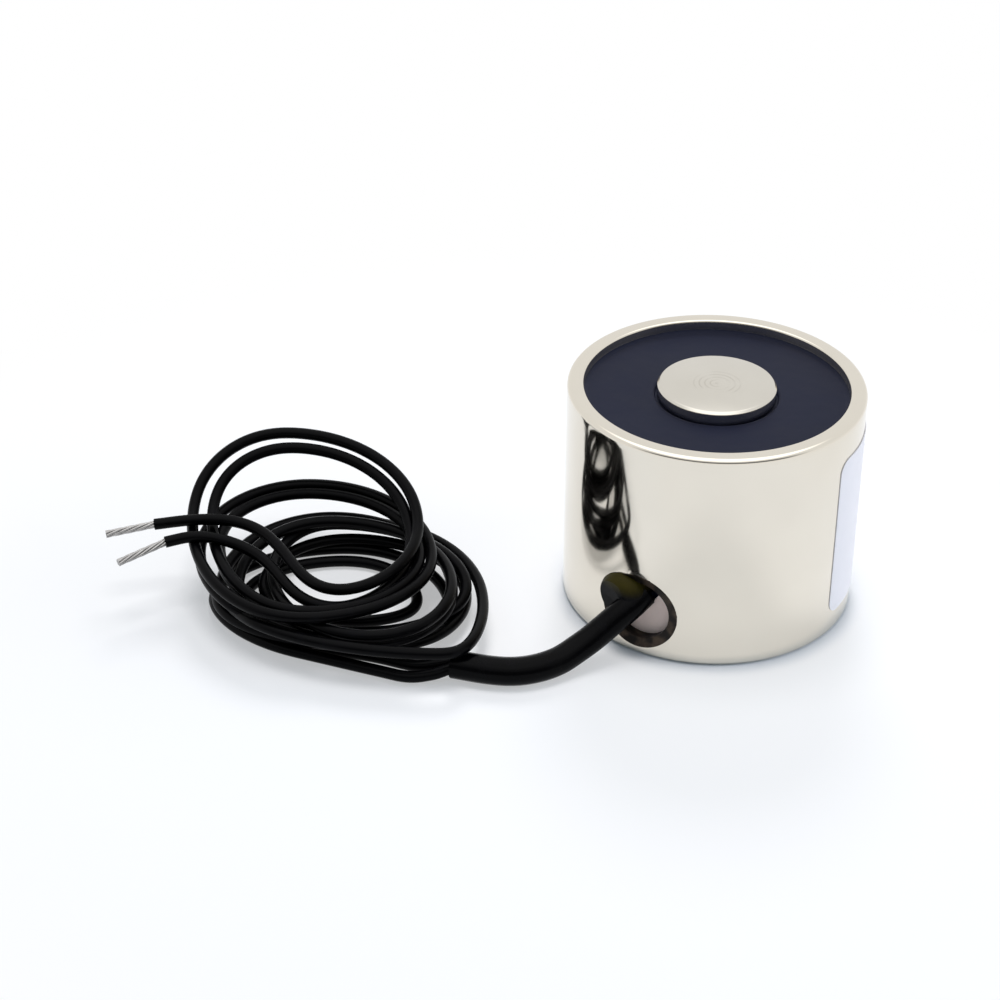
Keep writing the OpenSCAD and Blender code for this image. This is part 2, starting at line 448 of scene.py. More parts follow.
@dataclass(frozen=True)
class Wound(Finish):
    """Layers of fine enamelled wire round the magnet's axis."""

    crown: Colour = (0.42, 0.13, 0.05, 1.0)
    # Painted shade: the colour in the grooves between the turns
    groove: Colour = (0.1, 0.025, 0.012, 1.0)
    wire: float = 0.3

    def sockets(self, kit: NodeKit) -> dict[str, Input]:
        """Copper rings one wire wide, with painted shade in the grooves between them."""
        place = kit.place()
        height = kit.node("ShaderNodeSeparateXYZ", None, {0: place}, "Z")
        rings = (height * (math.tau / (self.wire * MM))).sine() * 0.5 + 0.5
        return {
            "Base Color": kit.blend(rings, self.groove, self.crown),
            "Metallic": 0.8,
            "Roughness": kit.noise(place, 0.8) * 0.15 + 0.25,
            "Normal": kit.bump(rings, 0.08),
        }


NICKEL = Plating("nickel_plate")
FACED_NICKEL = FacedPlating(
    "nickel_faced", tint=(0.73, 0.7, 0.635, 1.0), worn=(0.58, 0.545, 0.48, 1.0), roughness=0.16
)
# Painted shade and dark reflection for the lead hole's wall and sunk edge
HOLE_SHADE = HoleShade("painted_hole_shade")
CAST_RESIN = Resin("cast_resin")
WIRE_SKIN = Rubbery("lead_skin")
SLEEVE_SKIN = Rubbery("sleeve_skin", gloss=0.22, relief=0.01)
TIN = Tinned("tinned_strand")
PAPER = Matt("blank_paper", (0.75, 0.74, 0.78, 1), (0.71, 0.7, 0.74, 1), 2.0, 0.12, 0.002, 0.38)
FIBRE = Matt("pale_fibre", (0.98, 0.79, 0.69, 1), (0.76, 0.58, 0.51, 1), 1.4, 0.15, 0.012, 0.4)
NYLON = Matt("natural_nylon", (0.72, 0.68, 0.58, 1), (0.64, 0.6, 0.5, 1), 1.2, 0.1, 0.003, 0.4)
FILM = Matt("yellow_film", (0.62, 0.42, 0.06, 1), (0.5, 0.32, 0.04, 1), 1.5, 0.2, 0.002, 0.2)
COPPER = Wound("wound_copper")


class Bench:
    """Modelling steps that the pieces share."""

    @staticmethod
    def clear() -> None:
        """Leave nothing selected: loading leaves the frame's nodes selected."""
        bpy.ops.object.select_all(action="DESELECT")

    @staticmethod
    def take(obj: Piece) -> None:
        """Select one piece alone and make it the active one."""
        Bench.clear()
        obj.select_set(True)
        bpy.context.view_layer.objects.active = obj

    @staticmethod
    def add(name: str, shape: Callable, **settings: object) -> Piece:
        """Add one of Blender's plain shapes under a name of its own."""
        Bench.clear()
        shape(**settings)
        obj = bpy.context.object
        obj.name = obj.data.name = name
        return obj

    @staticmethod
    def edit(obj: Piece) -> None:
        """Open a piece in edit mode with everything selected."""
        Bench.take(obj)
        bpy.ops.object.mode_set(mode="EDIT")
        bpy.ops.mesh.select_mode(type="VERT")
        bpy.ops.mesh.select_all(action="SELECT")

    @staticmethod
    def done() -> None:
        """Go back to object mode."""
        bpy.ops.object.mode_set(mode="OBJECT")

    @staticmethod
    def pick(obj: Piece, kind: str, test: Callable[[Vector], bool]) -> None:
        """Select, in edit mode, the edges or the faces whose middle passes a test.

        Args:
            obj: The piece that is open.
            kind: Either EDGE or FACE.
            test: Says whether a place belongs to the selection.
        """
        bpy.ops.mesh.select_mode(type=kind)
        bpy.ops.mesh.select_all(action="DESELECT")
        bpy.ops.object.mode_set(mode="OBJECT")
        points = obj.data.vertices
        for part in obj.data.edges if kind == "EDGE" else obj.data.polygons:
            places = [points[i].co for i in part.vertices]
            part.select = test(sum(places, Vector()) / len(places))
        bpy.ops.object.mode_set(mode="EDIT")

    @staticmethod
    def turned(name: str, profile: Sequence[Flat], steps: int) -> Piece:
        """Spin a closed profile round the magnet's axis.

        Args:
            name: Name of the piece.
            profile: Radius and height of each corner, in millimetres; it closes by itself.
            steps: Straight runs round the axis.

        Returns:
            The piece, at the origin, with outward faces.
        """
        obj = Bench.add(name, bpy.ops.mesh.primitive_plane_add, size=MM)
        Bench.edit(obj)
        bpy.ops.mesh.merge(type="CENTER")
        radius, height = profile[0]
        bpy.ops.transform.translate(value=(radius * MM, 0, height * MM))
        for before, after in zip(profile, [*profile[1:], profile[0]]):
            step = ((after[0] - before[0]) * MM, 0, (after[1] - before[1]) * MM)
            bpy.ops.mesh.extrude_vertices_move(TRANSFORM_OT_translate={"value": step})
        bpy.ops.mesh.select_all(action="SELECT")
        bpy.ops.mesh.spin(steps=steps, angle=math.tau, center=(0, 0, 0), axis=(0, 0, 1))
        Bench.seal()
        Bench.done()
        return obj

    @staticmethod
    def seal() -> None:
        """Merge doubles and turn every face outward, in edit mode."""
        bpy.ops.mesh.select_all(action="SELECT")
        bpy.ops.mesh.remove_doubles(threshold=1e-6)
        bpy.ops.mesh.dissolve_degenerate(threshold=1e-7)
        bpy.ops.mesh.select_all(action="SELECT")
        bpy.ops.mesh.normals_make_consistent(inside=False)

    @staticmethod
    def mend(obj: Piece) -> None:
        """Open a piece, seal it and close it again."""
        Bench.edit(obj)
        Bench.seal()
        Bench.done()

    @staticmethod
    def set_down(obj: Piece, place: Matrix) -> None:
        """Move a piece to its place and write that place into its mesh."""
        obj.matrix_world = place
        Bench.take(obj)
        bpy.ops.object.transform_apply(location=True, rotation=True, scale=True)

    @staticmethod
    def modify(obj: Piece, kind: str, **settings: object) -> None:
        """Add a modifier to a piece and apply it."""
        modifier = obj.modifiers.new(kind.lower(), kind)
        for key, value in settings.items():
            setattr(modifier, key, value)
        Bench.take(obj)
        bpy.ops.object.modifier_apply(modifier=modifier.name)

    @staticmethod
    def carve(obj: Piece, tool: Piece, operation: str = "DIFFERENCE") -> None:
        """Combine a piece with a tool body and do away with the tool."""
        Bench.modify(obj, "BOOLEAN", operation=operation, object=tool, solver="EXACT")
        bpy.data.objects.remove(tool)

    @staticmethod
    def rod(name: str, radius: float, start: Point, end: Point, sides: int = 96) -> Piece:
        """A round bar between two places, in millimetres."""
        first, last = Vector(start), Vector(end)
        obj = Bench.add(
            name,
            bpy.ops.mesh.primitive_cylinder_add,
            vertices=sides,
            radius=radius * MM,
            depth=(last - first).length * MM,
            location=(first + last) / 2 * MM,
            rotation=(last - first).to_track_quat("Z", "Y").to_euler(),
        )
        bpy.ops.object.transform_apply(location=True, rotation=True, scale=True)
        return obj

    @staticmethod
    def smooth(obj: Piece, angle: float = 35.0) -> None:
        """Shade a piece smooth up to an angle, its broad faces kept true."""
        Bench.take(obj)
        bpy.ops.object.shade_smooth_by_angle(angle=math.radians(angle))
        Bench.modify(obj, "WEIGHTED_NORMAL", keep_sharp=True, weight=80)


def stand_in(piece: Piece, finish: Finish, slot: Slot, *nodes: str) -> None:
    """Dress a new piece, tie it to the magnet and show it in place of CAD nodes.

    Args:
        piece: The new piece.
        finish: What it wears.
        slot: The record's slot it belongs to; not used.
        nodes: The CAD nodes it stands for.
    """
    finish.dress(piece)
    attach(piece, "root")
    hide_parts(*nodes)
    log.info("built %s", piece.name)


@dataclass(frozen=True)
class PotSizes:
    """Outer sizes read from the frame, in millimetres."""

    radius: float
    height: float
    bore: float
    resin_top: float
    core: float

    @classmethod
    def from_frame(cls) -> "PotSizes":
        """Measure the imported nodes."""
        pot_high = Vector(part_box("pot_shell")[1]) / MM
        resin_high = Vector(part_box("potting")[1]) / MM
        core_high = Vector(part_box("pole_core")[1]) / MM
        return cls(pot_high.x, pot_high.z, resin_high.x, resin_high.z, core_high.x)


@dataclass(frozen=True)
class PotShell:
    """The plated cup, with the lead hole in its side."""

    sizes: PotSizes
    base: float = 5.0
    foot: float = 4.01
    edge: float = 0.4
    mouth: float = 0.2
    side_rings: int = 40
    bore_rings: tuple[float, ...] = (18.5, 12.0, 9.0)
    hole_radius: float = 3.5
    hole_height: float = 4.2
    hole_side: float = -8.0
    hole_steps: int = 160
    pocket: float = 1.5
    sink_width: float = 0.8
    sink_depth: float = 0.25
    sink_rings: tuple[float, ...] = (-0.7, -0.4, -0.2, -0.08, 0.06, 0.15)
    tool_rise: float = 1.0
    washer_front: float = 1.12
    turn_steps: int = 288

    def profile(self) -> list[Flat]:
        """The cup's half section, with rings up the side and the bore that keep the shading true."""
        size = self.sizes
        low, high = self.edge, size.height - self.edge
        side = [(size.radius, low + (high - low) * i / self.side_rings) for i in range(1, self.side_rings)]
        return [
            (self.foot, 0),
            *arc((size.radius - self.edge, low), self.edge, -90, 0),
            *side,
            *arc((size.radius - self.edge, high), self.edge, 0, 90),
            *arc((size.bore + self.mouth, size.height - self.mouth), self.mouth, 90, 180),
            *((size.bore, up) for up in (*self.bore_rings, self.base)),
            (self.foot, self.base),
        ]

    def hole_tool(self) -> Piece:
        """A plain bar that fills the lead hole and stands out of the side."""
        side, height = self.sizes.radius, self.hole_height
        start, end = (0, -side - self.tool_rise, height), (0, self.pocket - side, height)
        return Bench.rod("fill_tool", self.hole_radius, start, end, self.hole_steps)

    def mill(self, floor: float) -> Piece:
        """The body that cuts the hole with its shallow sunk edge, which follows the round side.

        Args:
            floor: How deep it cuts.

        Returns:
            The body, in its place.
        """
        radius, back, side = self.hole_radius, self.washer_front, self.sizes.radius
        lip = radius - self.sink_width
        slope = self.sink_width / self.sink_depth
        depths = (-self.tool_rise, *self.sink_rings, self.sink_depth)
        sunk = [(radius - slope * deep, deep) for deep in depths]
        wall = [(lip, back), (radius, back), (radius, floor), (0, floor)]
        tool = Bench.turned("mill", [(0, -self.tool_rise), *sunk, *wall], self.hole_steps)
        for vertex in tool.data.vertices:
            across, up, deep = vertex.co / MM
            surface = math.sqrt(side**2 - across**2) if deep < back - HAIR else side
            vertex.co = Vector((across, deep - surface, self.hole_height + up)) * MM
        Bench.mend(tool)
        return tool

    def in_hole(self, middle: Vector) -> bool:
        """Whether a face belongs to the wall of the lead hole or to its sunk edge."""
        away = math.hypot(middle.x / MM, middle.z / MM - self.hole_height)
        return away < self.hole_radius + HAIR and middle.y < self.hole_side * MM

    def build(self) -> Piece:
        """Turn the cup and mill the hole with its sunk edge."""
        cup = Bench.turned("pot_body", self.profile(), self.turn_steps)
        Bench.carve(cup, self.mill(self.pocket))
        Bench.mend(cup)
        Bench.smooth(cup, 30)
        return cup

    def dress(self, cup: Piece) -> None:
        """Plate the cup and paint shade and dark reflection on the wall of its hole."""
        stand_in(cup, NICKEL, Slot.PLATED_STEEL, "pot_shell")
        cup.data.materials.append(HOLE_SHADE.material())
        Bench.edit(cup)
        Bench.pick(cup, "FACE", self.in_hole)
        cup.active_material_index = 1
        bpy.ops.object.material_slot_assign()
        Bench.done()


@dataclass(frozen=True)
class PoleCore:
    """The plated core, faced on top and threaded in its foot."""

    sizes: PotSizes
    base: float = 5.0
    foot: float = 4.0
    bevel: float = 0.22
    rounding: float = 0.06
    tap: float = 1.65
    tap_depth: float = 8.0
    tap_tip: float = 1.0
    sink: float = 0.55
    thread_radius: float = 2.0
    thread_pitch: float = 0.7
    thread_overlap: float = 0.12
    thread_half: float = 0.44
    thread_end: float = 1.0
    thread_steps: int = 40
    turn_steps: int = 192

    def profile(self) -> list[Flat]:
        """The core's half section, the edges of its bevel slightly rounded."""
        size, soft = self.sizes, self.rounding
        face, shoulder = size.core - self.bevel, size.height - self.bevel
        return [
            (0, self.tap_depth + self.tap_tip),
            (self.tap, self.tap_depth),
            (self.tap, self.sink),
            (self.tap + self.sink, 0),
            (self.foot, 0),
            (self.foot, self.base),
            (size.core, self.base),
            (size.core, shoulder - soft),
            (size.core - soft / 2, shoulder + soft / 2),
            (face + soft / 2, size.height - soft / 2),
            (face - soft, size.height),
            (0, size.height),
        ]

    def thread_tool(self) -> Piece:
        """A three-sided cord wound up the bore, which cuts the thread."""
        inner, half = self.tap - self.thread_overlap, self.thread_pitch * self.thread_half
        tool = Bench.add("thread_tool", bpy.ops.mesh.primitive_circle_add, vertices=3, radius=MM)
        corners = ((self.thread_radius, 0), (inner, half), (inner, -half))
        for vertex, (radius, height) in zip(tool.data.vertices, corners):
            vertex.co = (radius * MM, 0, height * MM)
        Bench.edit(tool)
        bpy.ops.mesh.edge_face_add()
        Bench.done()
        turns, steps = round((self.tap_depth - self.thread_end) / self.thread_pitch), self.thread_steps
        rise = self.thread_pitch * MM
        Bench.modify(tool, "SCREW", screw_offset=rise, iterations=turns, steps=steps, render_steps=steps)
        Bench.edit(tool)
        bpy.ops.transform.translate(value=(0, 0, -rise))
        bpy.ops.mesh.fill_holes(sides=0)
        Bench.seal()
        Bench.done()
        return tool

    def build(self) -> Piece:
        """Turn the core and cut its thread."""
        core = Bench.turned("core_bar", self.profile(), self.turn_steps)
        Bench.carve(core, self.thread_tool())
        Bench.smooth(core, 25)
        return core

    def dress(self, core: Piece) -> None:
        """Plate the core."""
        stand_in(core, FACED_NICKEL, Slot.POLE_STEEL, "pole_core")


@dataclass(frozen=True)
class CastResin:
    """The resin between core and cup, and where it stands in the lead hole."""

    sizes: PotSizes
    shell: PotShell
    base: float = 5.0
    creep: float = 0.16
    creep_width: float = 0.45
    groove: float = 0.3
    groove_width: float = 0.42
    flange: float = 10.7
    winding: float = 9.86
    flange_low: float = 5.6
    flange_high: float = 17.4
    spool_top: float = 18.0
    plug_place: Flat = (-1.5, 5.2)
    plug_radius: float = 2.15
    plug_rise: float = 0.97
    plug_length: float = 3.0
    plug_root: float = 0.1
    plug_round: float = 1.5
    plug_steps: int = 10
    corner_steps: int = 6
    turn_steps: int = 192

    def profile(self) -> list[Flat]:
        """The ring's half section: it creeps up the cup, drops at the core and clears the spool."""
        size, steps = self.sizes, self.corner_steps
        top, inner, outer = size.resin_top, size.core, size.bore
        fall = [(i / steps, (1 - i / steps) ** 2 * self.creep) for i in range(steps + 1)]
        down_core = [
            (inner, top - self.groove),
            *arc((inner + self.groove_width, top - self.groove), self.groove, 180, 90, steps),
        ]
        up_wall = [(outer - far * self.creep_width, top + rise) for far, rise in reversed(fall)]
        inside = [
            (outer, self.base),
            (self.flange, self.base),
            (self.flange, self.flange_low),
            (self.winding, self.flange_low),
            (self.winding, self.flange_high),
            (self.flange, self.flange_high),
            (self.flange, self.spool_top),
            (inner, self.spool_top),
        ]
        return [*down_core, *up_wall, *inside]

    def plug(self) -> Piece:
        """The rounded lump of resin that stands out of the hole round the sleeve's root."""
        across, height = self.plug_place
        face = -self.plug_rise - self.sizes.radius
        start, end = (across, face, height), (across, face + self.plug_length, height)
        lump = Bench.rod("resin_lump", self.plug_radius, start, end)
        Bench.edit(lump)
        Bench.pick(lump, "EDGE", lambda middle: middle.y < (face + HAIR) * MM)
        bpy.ops.mesh.bevel(offset=self.plug_round * MM, segments=self.plug_steps, affect="EDGES")
        Bench.done()
        Bench.carve(lump, self.shell.mill(self.shell.pocket + self.plug_root), "INTERSECT")
        return lump

    def build(self) -> Piece:
        """Turn the ring, open it at the lead hole and add the lump."""
        ring = Bench.turned("resin_fill", self.profile(), self.turn_steps)
        Bench.carve(ring, self.shell.hole_tool())
        Bench.carve(ring, self.plug(), "UNION")
        Bench.smooth(ring)
        return ring

    def dress(self, ring: Piece) -> None:
        """Finish the resin."""
        stand_in(ring, CAST_RESIN, Slot.RESIN, "potting")


SLEEVE_ROUTE: tuple[Point, ...] = (
    (-8.1, -10.9, 4), (-9.2, -11.4, 3.2), (-10.4, -12, 2.4), (-11.7, -12.7, 1.75), (-13.1, -13.6, 1.3),
    (-14.8, -14.5, 1.2), (-16.8, -15, 1.2), (-19, -14.8, 1.2), (-21.9, -14, 1.2),
)


@dataclass(frozen=True)
class LeadRoute:
    """Chosen points of one lead outside the sleeve, in the picture's axes."""

    start: tuple[Point, ...]
    turns: tuple[tuple[Point, Point, Point, Point], ...]
    tail: tuple[Point, ...]
    tip: Point
    quarter_steps: ClassVar[int] = 6

    def quarter(self, first: Point, last: Point, along_x: bool) -> list[Point]:
        """A quarter of an ellipse between two points of a turn, without its last point.

        Args:
            first: Where the quarter starts.
            last: Where it ends.
            along_x: Whether it leaves its start along x, rather than along y.

        Returns:
            The points; the height goes with y.
        """
        points = []
        for i in range(self.quarter_steps):
            angle = math.tau / 4 * i / self.quarter_steps
            far, near = 1 - math.cos(angle), math.sin(angle)
            in_x, in_y = (near, far) if along_x else (far, near)
            x, y, z = (b - a for a, b in zip(first, last))
            points.append((first[0] + x * in_x, first[1] + y * in_y, first[2] + z * in_y))
        return points

    def points(self) -> list[Point]:
        """The whole lead from the sleeve's end to the end of its insulation."""
        corners = [corner for turn in self.turns for corner in turn]
        coil: list[Point] = []
        for i, (first, last) in enumerate(zip(corners, corners[1:])):
            coil += self.quarter(first, last, along_x=i % 2 == 1)
        return [*self.start, *coil, corners[-1], *self.tail]


LEAD_A = LeadRoute(
    start=(
        (-21.9, -14.5, 1.1), (-23.5, -14.9, 0.8), (-25.6, -15, 0.6), (-28.4, -14, 0.55),
        (-33, -12.2, 0.5), (-37.2, -10.5, 0.5), (-40.8, -7.8, 0.6),
    ),
    turns=(
        ((-42.8, -4.4, 0.8), (-31.5, 4.2, 0.6), (-22.2, -6.2, 0.9), (-28, -12, 1.4)),
        ((-42.4, -5, 1.8), (-31.5, 6.2, 2.2), (-19.4, -7, 2.4), (-22, -15, 2.9)),
        ((-42, -4.6, 2.7), (-33, 5, 3.4), (-22, -6.4, 3), (-28.6, -13.6, 2.9)),
        ((-44, -0.6, 4), (-35, 7.6, 5.2), (-23.8, -3, 4.2), (-34.5, -11.8, 4.2)),
        ((-44.9, 2.4, 5.6), (-37.2, 9.2, 9.6), (-25, 0.4, 5.4), (-32, -9, 5)),
    ),
    tail=(
        (-34, -8, 5.2), (-35.4, -6, 5.5), (-36.8, -3.6, 5.8), (-38.6, -1.4, 6.1),
        (-41, -0.2, 6.3), (-44.2, 0.1, 6.2), (-47.9, -0.1, 5.8),
    ),
    tip=(-52, -1.1, 5.4),
)
LEAD_B = LeadRoute(
    start=(
        (-21.9, -13.5, 1.1), (-23.4, -13.5, 0.8), (-25.2, -13.4, 0.6), (-28.4, -12.1, 0.5),
        (-32.7, -10.9, 0.5), (-36.6, -9.3, 0.5), (-39, -6.8, 0.6),
    ),
    turns=(
        ((-40.2, -4, 0.8), (-31.5, 2.2, 0.6), (-25, -5, 0.9), (-30.4, -8.2, 1.3)),
        ((-38.6, -3.6, 1.8), (-31.5, 3.6, 2), (-20.9, -6.6, 2.6), (-26.6, -13.2, 2.4)),
        ((-40.5, -4.2, 2.7), (-33, 4.2, 3.5), (-22, -6.6, 3.9), (-28.6, -13.4, 3.5)),
        ((-37.6, -3, 3.4), (-33, 3.9, 3.4), (-20.8, -6, 3.2), (-29.4, -11.8, 2.7)),
        ((-42.4, 0.4, 4), (-35, 6.9, 4.7), (-24.8, -2.6, 4.2), (-34, -10.6, 4)),
        ((-43.2, 3.4, 5.2), (-36.6, 8.3, 8.6), (-25.6, -0.2, 4.2), (-32.2, -10, 3.9)),
    ),
    tail=(
        (-34.3, -9.2, 4.1), (-35.9, -7.7, 4.5), (-37.2, -5.6, 5), (-39, -3.6, 5.3),
        (-41.4, -2.3, 5.6), (-44.1, -1.9, 5.8), (-46.7, -2.6, 5.6),
    ),
    tip=(-50.4, -5.2, 5.2),
)


def even(points: np.ndarray, spacing: float) -> np.ndarray:
    """Run a smooth line through points and take points off it at an even spacing.

    Args:
        points: The points to run through, one a row.
        spacing: Distance between the new points, about.

    Returns:
        The new points; the first and last are the old ones.
    """
    runs = 12
    padded = np.vstack([2 * points[0] - points[1], points, 2 * points[-1] - points[-2]])
    t = np.linspace(0, 1, runs, endpoint=False)[:, None]
    fine = []
    for p, q, r, s in zip(padded, padded[1:], padded[2:], padded[3:]):
        square, cube = 2 * p - 5 * q + 4 * r - s, 3 * q - p - 3 * r + s
        fine.append(0.5 * (2 * q + (r - p) * t + square * t**2 + cube * t**3))
    line = np.vstack([*fine, points[-1:]])
    run = np.concatenate([[0], np.cumsum(np.linalg.norm(np.diff(line, axis=0), axis=1))])
    marks = np.linspace(0, run[-1], round(run[-1] / spacing) + 1)
    return np.column_stack([np.interp(marks, run, line[:, k]) for k in range(3)])


@dataclass(frozen=True)
class LeadPair:
    """Both leads, from the pot through the sleeve and the coil to their bare ends."""

    sizes: PotSizes
    radius: float = 0.5
    sleeve_radius: float = 1.2
    sleeve_height: float = 5.4
    sleeve_start: float = 11.38
    sleeve_slant: Flat = (-0.5, -0.7)
    sleeve_rise: float = 0.08
    sleeve_wall: float = 0.16
    sleeve_mouth: float = 1.2
    sleeve_spacing: float = 0.6
    hidden_spacing: float = 1.5
    spacing: float = 1.0
    held_start: float = 23.0
    held_end: float = 14.0
    release: float = 6.0
    easing: int = 3
    settling: tuple[tuple[int, int, float], ...] = ((300, 5, 3.0), (60, 2, 0.5))
    neighbours: int = 5
    strand_radius: float = 0.325
    strand_sides: int = 10
    strand_swell: float = 1.04
    strand_steps: int = 30
    strand_twist: float = 300.0
    strand_tuck: float = 0.8
    sight: ClassVar[Vector] = Vector((0.03, 0.846, -0.532)).normalized()

    def sleeve_line(self) -> np.ndarray:
        """The sleeve's middle line in the picture's axes."""
        back = Matrix.Rotation(-LAY_TURN, 3, "Z")
        side = self.sizes.radius
        straight = [
            (0, -self.sleeve_start, self.sleeve_height),
            (self.sleeve_slant[0], -side - self.sleeve_rise, self.sleeve_height + self.sleeve_slant[1]),
        ]
        return np.array([*(tuple(back @ Vector(point)) for point in straight), *SLEEVE_ROUTE])

    def line(self, route: LeadRoute, side: float) -> np.ndarray:
        """One lead's middle line, from inside the pot to the end of its insulation.

        Args:
            route: The lead's chosen points.
            side: Which side of the sleeve it runs on, as a multiple of its radius.

        Returns:
            Evenly spaced points in the picture's axes.
        """
        sleeve = even(self.sleeve_line(), self.hidden_spacing)[:-1]
        ahead = np.gradient(sleeve, axis=0)
        across = np.cross(ahead, (0, 0, 1))
        across /= np.linalg.norm(across, axis=1)[:, None]
        hidden = sleeve + across * self.radius * side
        return even(np.vstack([hidden, np.array(route.points())]), self.spacing)

    def eased(self, line: np.ndarray, rounds: int) -> np.ndarray:
        """Draw the bends of a lead out evenly; what is in the sleeve and the far end keep their place."""
        free = self.freedom(len(line), self.spacing)[1:-1, None]
        for _ in range(rounds):
            middle = (line[:-2] + line[2:]) / 2
            line = np.vstack([line[:1], line[1:-1] + 0.5 * free * (middle - line[1:-1]), line[-1:]])
        return line

    def settle(
        self, lines: Sequence[np.ndarray], rounds: int, passes: int, push: float
    ) -> list[np.ndarray]:
        """Ease the leads apart in long low humps where they would run through each other.

        They part along the line of sight, so that the coil keeps its outline, and stay on the floor.

        Args:
            lines: The leads' middle lines.
            rounds: How often the leads are eased.
            passes: How often the shifts are evened out along a lead in each round.
            push: Share of a missing gap by which the leads part in one round.

        Returns:
            The eased lines.
        """
        every = np.vstack(lines)
        lead = np.concatenate([np.full(len(line), i) for i, line in enumerate(lines)])
        order = np.concatenate([np.arange(len(line)) for line in lines])
        free = np.concatenate([self.freedom(len(line), self.held_end) for line in lines])
        sight = np.array(self.sight)
        apart = every[:, None] - every
        depth = apart @ sight
        aside = np.linalg.norm(apart - depth[..., None] * sight, axis=2)
        room = np.sqrt(np.clip((2 * self.radius) ** 2 - aside**2, 0, None))
        room[(lead[:, None] == lead) & (abs(order[:, None] - order) < self.neighbours)] = 0
        lowest = (self.radius - every[:, 2]) / sight[2]
        shift = np.zeros(len(every))
        for _ in range(rounds):
            deep = depth + shift[:, None] - shift
            missing = np.clip(room - abs(deep), 0, None) * np.where(deep >= 0, 1, -1)
            shift += push * 0.5 * (missing.max(axis=1) + missing.min(axis=1))
            for i in range(len(lines)):
                for _ in range(passes):
                    padded = np.pad(shift[lead == i], 1, mode="edge")
                    shift[lead == i] = np.convolve(padded, (0.25, 0.5, 0.25), mode="valid")
            shift = np.minimum(shift * free, np.maximum(lowest, 0))
        every = every + shift[:, None] * sight
        return [every[lead == i] for i in range(len(lines))]

    def freedom(self, count: int, held: float) -> np.ndarray:
        """How freely each point moves: not in the sleeve and not within a held length of the far end."""
        place = np.arange(count) * self.spacing
        after = (place - self.held_start) / self.release
        before = (count * self.spacing - held - place) / self.release
        return np.clip(after, 0, 1) * np.clip(before, 0, 1)

    def curve(self, name: str, line: np.ndarray, radius: float) -> Piece:
        """A round cord along a line given in the picture's axes."""
        data = bpy.data.curves.new(name, "CURVE")
        data.dimensions = "3D"
        data.bevel_depth = radius * MM
        data.bevel_resolution = 5
        data.resolution_u = 3
        data.use_fill_caps = True
        spline = data.splines.new("BEZIER")
        spline.bezier_points.add(len(line) - 1)
        for knot, place in zip(spline.bezier_points, line):
            knot.co = Vector(laid(place)) * MM
            knot.handle_left_type = knot.handle_right_type = "AUTO"
        obj = bpy.data.objects.new(name, data)
        bpy.context.scene.collection.objects.link(obj)
        return obj

    def sleeve(self) -> Piece:
        """The shrink sleeve: a tube whose free end is open round the leads."""
        line = even(self.sleeve_line(), self.sleeve_spacing)
        Bench.take(self.curve("sleeve_tube", line, self.sleeve_radius))
        bpy.ops.object.convert(target="MESH")
        tube = bpy.context.object
        end = Vector(laid(SLEEVE_ROUTE[-1])) * MM
        Bench.edit(tube)
        Bench.seal()
        Bench.pick(tube, "FACE", lambda middle: (middle - end).length < self.sleeve_wall * MM)
        bpy.ops.mesh.inset(thickness=self.sleeve_wall * MM)
        inward = (Vector(laid(SLEEVE_ROUTE[-2])) * MM - end).normalized() * self.sleeve_mouth * MM
        bpy.ops.mesh.extrude_region_move(TRANSFORM_OT_translate={"value": inward})
        Bench.seal()
        Bench.done()
        Bench.smooth(tube, 50)
        return tube

    def strands(self, name: str, start: Point, tip: Point) -> Piece:
        """Seven tinned strands twisted together, from inside the insulation to the tip.

        Args:
            name: Name of the piece.
            start: End of the insulation, in the picture's axes.
            tip: End of the strands, in the picture's axes.

        Returns:
            The bundle, as one piece.
        """
        foot, top = Vector(laid(start)) * MM, Vector(laid(tip)) * MM
        tucked = self.strand_tuck * MM
        length = (top - foot).length + tucked
        strand = self.strand_radius / 3 * MM
        steps, twist = self.strand_steps, math.radians(self.strand_twist)
        disc = {"vertices": self.strand_sides, "radius": strand * self.strand_swell, "fill_type": "NGON"}
        bundle = Bench.add(name, bpy.ops.mesh.primitive_circle_add, **disc)
        Bench.edit(bundle)
        for i in range(6):
            angle = math.tau * i / 6
            place = (2 * strand * math.cos(angle), 2 * strand * math.sin(angle), 0)
            bpy.ops.mesh.primitive_circle_add(**disc, location=place)
        bpy.ops.mesh.select_all(action="SELECT")
        for _ in range(steps):
            bpy.ops.mesh.extrude_region_move(TRANSFORM_OT_translate={"value": (0, 0, length / steps)})
            bpy.ops.transform.rotate(value=twist / steps, orient_axis="Z", center_override=(0, 0, 0))
        bpy.ops.mesh.select_all(action="SELECT")
        bpy.ops.mesh.fill_holes(sides=0)
        Bench.seal()
        Bench.done()
        ahead = (top - foot).normalized()
        turn = ahead.to_track_quat("Z", "Y").to_matrix().to_4x4()
        Bench.set_down(bundle, Matrix.Translation(foot - ahead * tucked) @ turn)
        Bench.smooth(bundle, 50)
        return bundle

    def build(self) -> None:
        """Lay both leads, sleeve them and bare their ends."""
        sides = ((LEAD_A, -1), (LEAD_B, 1))
        lines = [self.eased(self.line(route, side), self.easing) for route, side in sides]
        for rounds, passes, push in self.settling:
            lines = self.settle(lines, rounds, passes, push)
        sleeve = self.sleeve()
        stand_in(sleeve, SLEEVE_SKIN, Slot.SLEEVE, "lead_sleeve")
        nodes = (("lead_coil", "lead_tail_a"), ("lead_tail_b",))
        for letter, route, line, stood_for in zip("ab", (LEAD_A, LEAD_B), lines, nodes):
            lead = self.curve(f"lead_{letter}", line, self.radius)
            stand_in(lead, WIRE_SKIN, Slot.INSULATION, *stood_for)
            end = self.strands(f"strands_{letter}", route.tail[-1], route.tip)
            stand_in(end, TIN, Slot.TINNED, f"bare_end_{letter}")
            exit_place = Vector(laid(line[0])) * MM
            pieces = [sleeve, end] if letter == "a" else [end]
            2 * self.radius * MM


